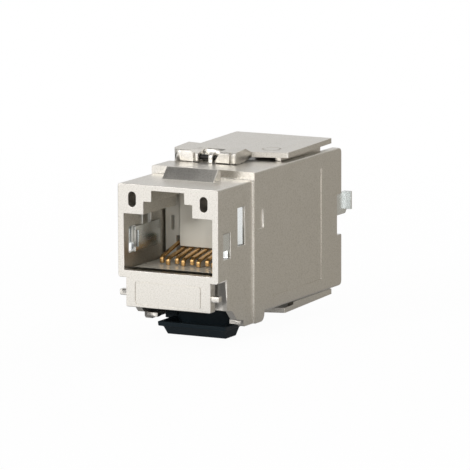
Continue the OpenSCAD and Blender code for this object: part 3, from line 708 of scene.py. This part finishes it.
def card(name, middle, facing, up, extent, tint, strength):
    """A card that only the glossy surfaces mirror, as a row of CARDS gives it."""
    normal = Vector(facing).normalized()
    side = Vector(up).cross(normal).normalized()
    axes = Matrix((side, normal.cross(side), normal)).transposed()
    place = Matrix.Translation(Vector(middle) * MM) @ axes.to_4x4()
    sheet = bmesh.new()
    bmesh.ops.create_grid(sheet, x_segments=1, y_segments=1, size=0.5)
    bmesh.ops.scale(sheet, vec=(extent[0] * MM, extent[1] * MM, 1), verts=sheet.verts)
    bmesh.ops.transform(sheet, matrix=place, verts=sheet.verts)
    mesh = mesh_of(sheet, name)
    made, tree, surface = unshaded(name)
    glow = add(tree, "ShaderNodeEmission", {"Color": linear(tint), "Strength": strength})
    tree.links.new(glow.outputs[0], surface)
    mesh.materials.append(made)
    piece = placed(name, mesh)
    piece.visible_camera = False
    piece.visible_diffuse = False
    piece.visible_shadow = False


def softbox(name, away, extent, watts, mirrored):
    """A rectangular lamp that faces the aim point from that direction."""
    lamp = bpy.data.lights.new(name, "AREA")
    lamp.shape = "RECTANGLE"
    lamp.size, lamp.size_y = extent
    lamp.energy = watts
    back = Vector(away).normalized()
    place = Vector(bpy.context.scene.jack_stage.aim) + LAMP_DISTANCE * back
    axes = back.to_track_quat("Z", "Y").to_matrix()
    piece = placed(name, lamp)
    piece.matrix_world = Matrix.Translation(place) @ axes.to_4x4()
    piece.visible_glossy = mirrored


def seen_white(tree):
    """A socket that is 1 for what the camera sees directly, in a mirror or through glass."""
    path = add(tree, "ShaderNodeLightPath")
    first = add(tree, "ShaderNodeMath", {
        0: path.outputs["Is Camera Ray"], 1: path.outputs["Is Glossy Ray"],
    }, operation="MAXIMUM")
    return add(tree, "ShaderNodeMath", {
        0: first.outputs[0], 1: path.outputs["Is Transmission Ray"],
    }, operation="MAXIMUM").outputs[0]


class JACK_OT_stage(JackOperator):
    """Sets up the floor, the light and the camera"""
    bl_idname = "jack.stage"
    bl_label = "Stage"

    def execute(self, context):
        stage = context.scene.jack_stage
        context.scene.view_settings.view_transform = "Standard"
        self.world(context.scene, stage)
        self.floor()
        self.lamps(stage)
        self.camera(context.scene, stage)
        return {"FINISHED"}

    def world(self, scene, stage):
        """Even light from all round, which shows as white."""
        world = bpy.data.worlds.new("studio")
        world.use_nodes = True
        tree = world.node_tree
        level = add(tree, "ShaderNodeMapRange", {
            "Value": seen_white(tree), "To Min": stage.fill, "To Max": 1,
        })
        feed(tree.nodes["Background"], {
            "Color": linear(WHITE), "Strength": level.outputs["Result"],
        })
        scene.world = world

    def floor(self):
        """A pale floor that runs out into the white and keeps the jack's shadow."""
        sheet = bmesh.new()
        bmesh.ops.create_grid(sheet, x_segments=1, y_segments=1, size=FLOOR_HALF)
        bmesh.ops.translate(
            sheet, vec=(0, 0, CAD_BOX[0].z - FLOOR_GAP * MM), verts=sheet.verts
        )
        mesh = mesh_of(sheet, "floor")
        made, tree, surface = unshaded("matt_white_floor")
        place = add(tree, "ShaderNodeTexCoord").outputs["Object"]
        away = add(tree, "ShaderNodeVectorMath", {0: place}, operation="LENGTH")
        fade = add(tree, "ShaderNodeMapRange", {
            "Value": away.outputs["Value"], "From Min": FLOOR_FADE[0], "From Max": FLOOR_FADE[1],
            "To Min": 0.965, "To Max": 1,
        })
        white = add(tree, "ShaderNodeMath", {
            0: fade.outputs["Result"], 1: seen_white(tree),
        }, operation="MULTIPLY")
        matt = add(tree, "ShaderNodeBsdfDiffuse", {"Color": linear("f4f4f2")})
        glow = add(tree, "ShaderNodeEmission", {"Color": linear(WHITE), "Strength": 1})
        both = add(tree, "ShaderNodeMixShader", {
            0: white.outputs[0], 1: matt.outputs[0], 2: glow.outputs[0],
        })
        tree.links.new(both.outputs[0], surface)
        mesh.materials.append(made)
        placed("floor", mesh)

    def lamps(self, stage):
        """The softboxes at the front, beside the camera and behind, and the cards for the metal."""
        for name, away, extent, setting, mirrored in SOFTBOXES:
            softbox(name, away, extent, getattr(stage, setting), mirrored)
        for row in CARDS:
            card(*row)

    def camera(self, scene, stage):
        """The photograph's viewpoint."""
        level = math.cos(stage.rise)
        back = Vector((
            math.sin(stage.turn) * level, -math.cos(stage.turn) * level, math.sin(stage.rise),
        ))
        right = Vector((math.cos(stage.turn), math.sin(stage.turn), 0))
        axes = Matrix((right, back.cross(right), back)).transposed()
        axes = axes @ Matrix.Rotation(stage.roll, 3, "Z")
        lens = bpy.data.cameras.new("camera")
        lens.lens = stage.lens
        lens.clip_start, lens.clip_end = CAMERA_CLIP
        piece = placed("camera", lens)
        place = Vector(stage.aim) + stage.distance * back
        piece.matrix_world = Matrix.Translation(place) @ axes.to_4x4()
        scene.camera = piece


class JACK_PT_panel(bpy.types.Panel):
    """Lists the jack's operators."""
    bl_idname = "JACK_PT_panel"
    bl_label = "Keystone jack"
    bl_space_type = "VIEW_3D"
    bl_region_type = "UI"
    bl_category = "Jack"

    def draw(self, context):
        for step in STEPS:
            self.layout.operator(step.bl_idname)


STEPS = (
    JACK_OT_housing, JACK_OT_covers, JACK_OT_latch, JACK_OT_carrier, JACK_OT_contacts,
    JACK_OT_springs, JACK_OT_terminals, JACK_OT_wire_manager, JACK_OT_stage,
)
SETTINGS = {
    "jack_casting": CastingSettings,
    "jack_sheet": SheetSettings,
    "jack_plastic": PlasticSettings,
    "jack_contacts": ContactSettings,
    "jack_stage": StageSettings,
}


def register():
    for name, group in SETTINGS.items():
        bpy.utils.register_class(group)
        setattr(bpy.types.Scene, name, PointerProperty(type=group))
    for step in (*STEPS, JACK_PT_panel):
        bpy.utils.register_class(step)


def unregister():
    for step in (JACK_PT_panel, *reversed(STEPS)):
        bpy.utils.unregister_class(step)
    for name, group in SETTINGS.items():
        delattr(bpy.types.Scene, name)
        bpy.utils.unregister_class(group)


def main():
    register()
    for step in STEPS:
        group, action = step.bl_idname.split(".")
        getattr(getattr(bpy.ops, group), action)()


if __name__ == "__main__":
    main()
